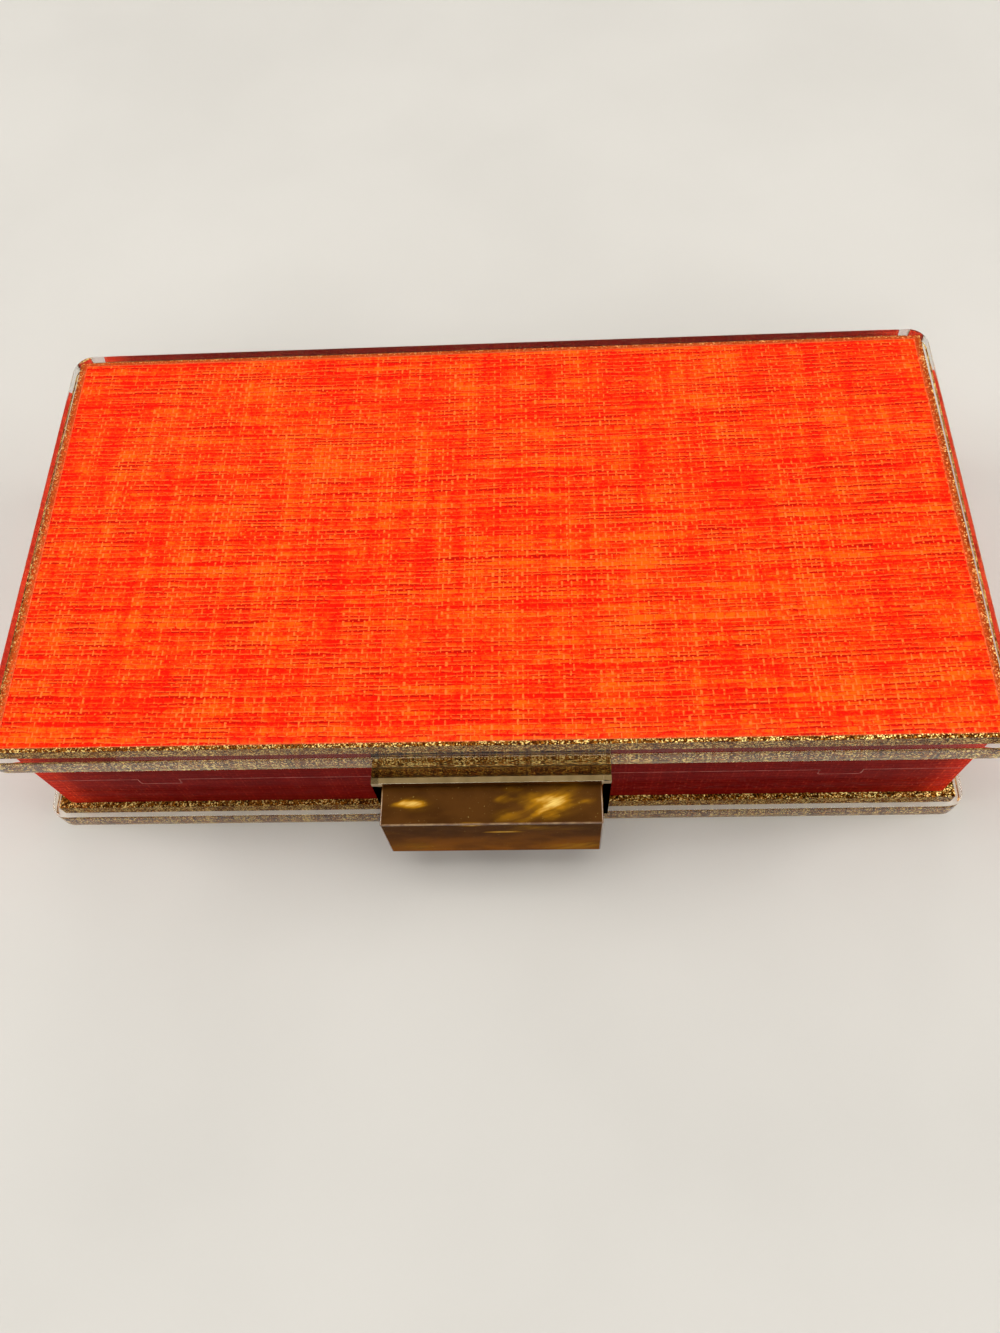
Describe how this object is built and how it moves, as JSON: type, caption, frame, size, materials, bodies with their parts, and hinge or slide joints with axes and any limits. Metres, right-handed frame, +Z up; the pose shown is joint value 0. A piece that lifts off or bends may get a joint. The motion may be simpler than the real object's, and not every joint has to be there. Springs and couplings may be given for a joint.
{
  "type": "hard box clutch bag",
  "caption": "Flat rectangular box clutch with woven linen panels in clear-rimmed glitter plates, recessed linen walls, a rear hinge and a front clasp with an amber resin bar.",
  "frame": {"origin": "middle of the flat underside that the box lies on", "axes": "+Z up through the lid, -Y towards the clasp, +X to the right of someone facing the clasp, along the width"},
  "size_m": [0.22, 0.1268, 0.0417],
  "materials": {
    "clear_acrylic": "polished clear acrylic",
    "glitter_acrylic": "gold glitter set in acrylic",
    "red_linen": "slubby plain-weave linen under a gloss coat",
    "wall_linen": "plain-weave linen under a gloss coat",
    "hinge_brass": "satin brass",
    "pale_gold": "polished pale gold plate",
    "amber_resin": "polished amber resin with pearly clouds"
  },
  "bodies": {
    "base": {"base_rim": "clear_acrylic", "base_core": "glitter_acrylic", "base_linen": "red_linen", "base_wall": "wall_linen", "hinge_base_leaf": "hinge_brass", "hinge_pin": "hinge_brass", "clasp_keeper": "pale_gold"},
    "lid": {"lid_rim": "clear_acrylic", "lid_core": "glitter_acrylic", "lid_linen": "red_linen", "lid_wall": "wall_linen", "hinge_lid_leaf": "hinge_brass", "clasp_frame": "pale_gold", "clasp_pin": "pale_gold"},
    "clasp": {"clasp_bar": "amber_resin", "clasp_catch": "pale_gold"}
  },
  "joints": [
    {"name": "lid_hinge", "type": "hinge", "parent": "base", "child": "lid", "pos_m": [0, 0.0553, 0.02085], "axis": [-1, 0, 0], "range_deg": [0, 100]},
    {"name": "clasp_lever", "type": "hinge", "parent": "lid", "child": "clasp", "pos_m": [0, -0.059, 0.0304], "axis": [-1, 0, 0], "range_deg": [0, 20]}
  ]
}
